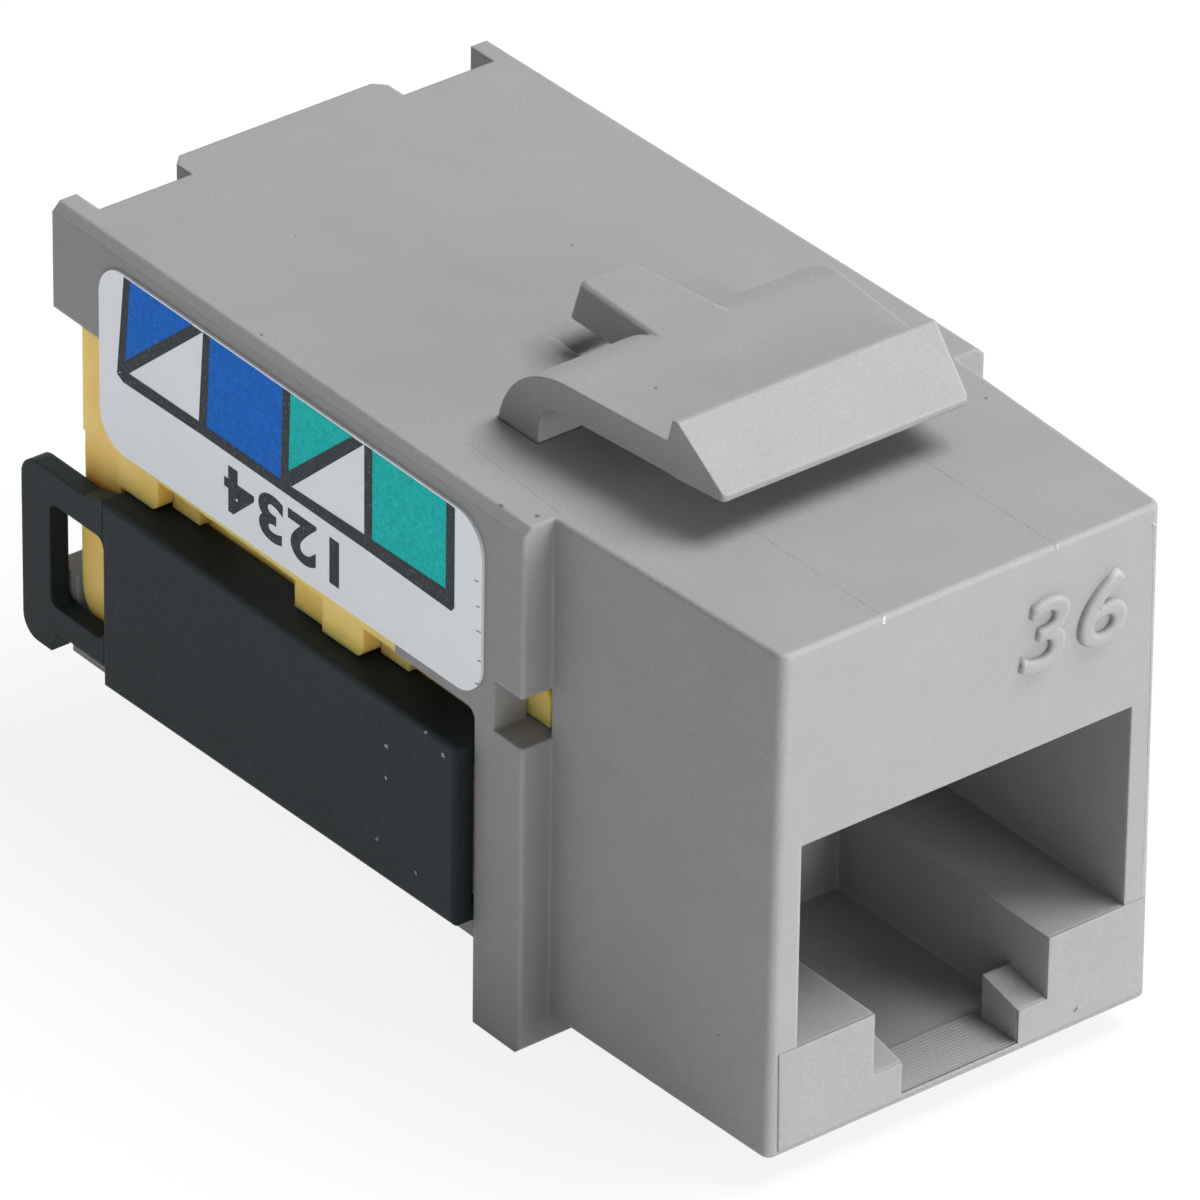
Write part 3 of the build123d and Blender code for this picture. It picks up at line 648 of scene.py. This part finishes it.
def gate_vestige():
    """The torn gate on the left cap's pull loop."""
    bm = bmesh.new()
    root = [(-8.7, 32.46, 7.5), (-8.45, 32.46, 7.42), (-8.45, 32.46, 7.12), (-8.7, 32.46, 7.02)]
    tip = bm.verts.new((-8.6, 32.5, 7.24))
    ring = [bm.verts.new(p) for p in root]
    for i in range(4):
        bm.faces.new((ring[i], ring[(i + 1) % 4], tip))
    bm.faces.new(ring[::-1])
    make_piece("gate_vestige", bm, "cap", "cap_left")


face_panel()
channel_marks()
mould_lines()
mould_nubs()
gate_vestige()


# Stage, lights and camera


def white_where_seen(tree, surface, factor, white_kind):
    """Mixes plain white into a surface for camera, glossy and transmission rays."""
    path = tree.nodes.new("ShaderNodeLightPath")
    total = path.outputs["Is Camera Ray"]
    for other in ("Is Glossy Ray", "Is Transmission Ray"):
        add = tree.nodes.new("ShaderNodeMath")
        add.operation = "MAXIMUM"
        tree.links.new(total, add.inputs[0])
        tree.links.new(path.outputs[other], add.inputs[1])
        total = add.outputs[0]
    share = tree.nodes.new("ShaderNodeMath")
    share.operation = "MULTIPLY"
    tree.links.new(total, share.inputs[0])
    share.inputs[1].default_value = factor
    white = tree.nodes.new(white_kind)
    white.inputs["Color"].default_value = (1, 1, 1, 1)
    white.inputs["Strength"].default_value = 1.0
    mix = tree.nodes.new("ShaderNodeMixShader")
    tree.links.new(share.outputs[0], mix.inputs[0])
    tree.links.new(surface, mix.inputs[1])
    tree.links.new(white.outputs[0], mix.inputs[2])
    return mix.outputs[0]


def floor():
    bpy.ops.mesh.primitive_plane_add(size=3.0, location=(0, 0, FOOT_Z * MM))
    plane = bpy.context.object
    plane.name = "floor"
    material = bpy.data.materials.new("floor_paper")
    material.use_nodes = True
    tree = material.node_tree
    shader = tree.nodes["Principled BSDF"]
    shader.inputs["Base Color"].default_value = (FLOOR_GREY, FLOOR_GREY, FLOOR_GREY, 1)
    shader.inputs["Roughness"].default_value = 0.9
    shader.inputs["Specular IOR Level"].default_value = 0.0
    seen = white_where_seen(tree, shader.outputs[0], FLOOR_WHITE_SHARE, "ShaderNodeEmission")
    tree.links.new(seen, tree.nodes["Material Output"].inputs["Surface"])
    plane.data.materials.append(material)


def sky(level):
    world = bpy.data.worlds.new("studio")
    bpy.context.scene.world = world
    world.use_nodes = True
    tree = world.node_tree
    background = tree.nodes["Background"]
    background.inputs["Color"].default_value = (1, 1, 1, 1)
    background.inputs["Strength"].default_value = level
    seen = white_where_seen(tree, background.outputs[0], 1.0, "ShaderNodeBackground")
    tree.links.new(seen, tree.nodes["World Output"].inputs["Surface"])


def softbox(name, direction, size, level):
    """A square lamp that lights a face turned to it by the level, 1 being plain white."""
    data = bpy.data.lights.new(name, "AREA")
    data.shape = "SQUARE"
    data.size = size
    data.energy = level * math.pi ** 2 * LAMP_DISTANCE ** 2
    lamp = bpy.data.objects.new(name, data)
    bpy.context.scene.collection.objects.link(lamp)
    aim = Vector(direction).normalized()
    lamp.location = Vector(LAMP_AIM) + aim * LAMP_DISTANCE
    lamp.rotation_euler = aim.to_track_quat("Z", "Y").to_euler()


def camera():
    """The photograph's view: a long lens from the front left, rolled by under a degree."""
    turn, lift, roll = (math.radians(a) for a in (CAMERA_TURN, CAMERA_LIFT, CAMERA_ROLL))
    back = Vector((math.sin(turn) * math.cos(lift), -math.cos(turn) * math.cos(lift), math.sin(lift)))
    right = Vector((0, 0, 1)).cross(back).normalized()
    up = back.cross(right)
    rolled_right = right * math.cos(roll) + up * math.sin(roll)
    rolled_up = up * math.cos(roll) - right * math.sin(roll)
    data = bpy.data.cameras.new("camera")
    data.lens = CAMERA_LENS
    data.sensor_width = CAMERA_SENSOR
    data.sensor_fit = "HORIZONTAL"
    data.clip_start = 0.01
    data.clip_end = 10
    holder = bpy.data.objects.new("camera", data)
    bpy.context.scene.collection.objects.link(holder)
    place = Vector(CAMERA_TARGET) * MM + back * CAMERA_DISTANCE * MM
    axes = Matrix((rolled_right, rolled_up, back)).transposed()
    holder.matrix_world = Matrix.Translation(place) @ axes.to_4x4()
    bpy.context.scene.camera = holder


floor()
sky(SKY_LEVEL)
softbox("overhead", (0.42, -0.2, 0.88), 0.26, 1.26)
softbox("front", (0.27, -0.95, 0.12), 0.2, 0.98)
softbox("front_fill", (-0.5, -0.85, 0.12), 0.3, 0.15)
softbox("rear_fill", (-0.75, 0.6, 0.28), 0.3, 0.1)
camera()
bpy.context.scene.view_settings.view_transform = "Standard"
